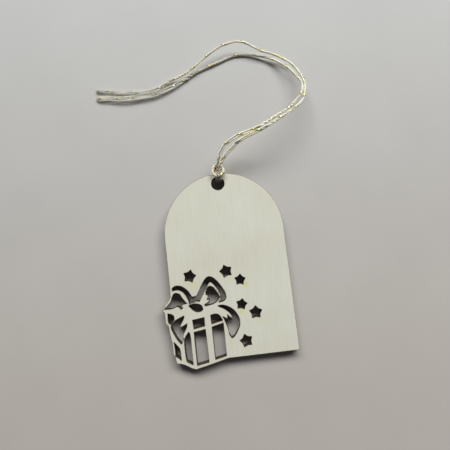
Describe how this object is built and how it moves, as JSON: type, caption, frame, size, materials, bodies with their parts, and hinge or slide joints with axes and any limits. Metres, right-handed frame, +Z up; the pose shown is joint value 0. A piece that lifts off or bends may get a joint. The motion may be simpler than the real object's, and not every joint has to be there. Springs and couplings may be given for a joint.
{
  "type": "wooden gift tag",
  "caption": "Laser-cut plywood gift tag with a half-round top, a cut-out gift box and stars, and a doubled off-white string with a gold thread hitched into its hole.",
  "frame": {"origin": "on the table, under the middle of the wooden sheet's own box", "axes": "+Z up from the table, +Y along the tag from its straight edge to its hole, +X to the tag's right seen from its front; the front face looks up, tilted 0.85 degrees about X because the hitch lifts the hole's end"},
  "size_m": [0.0918, 0.1383, 0.0136],
  "materials": {
    "plywood_face": "matte",
    "plywood_core": "matte",
    "twine": "matte"
  },
  "bodies": {
    "tag": {"back_veneer": "plywood_face", "core_veneer": "plywood_core", "face_veneer": "plywood_face", "hitch": "twine"},
    "string": {"cord_leg_left": "twine", "cord_leg_right": "twine"}
  },
  "joints": [
    {"name": "string_swing", "type": "hinge", "parent": "tag", "child": "string", "pos_m": [0.0029, 0.04281, 0.00587], "axis": [1, 0, 0], "range_deg": [-90, 100]}
  ]
}
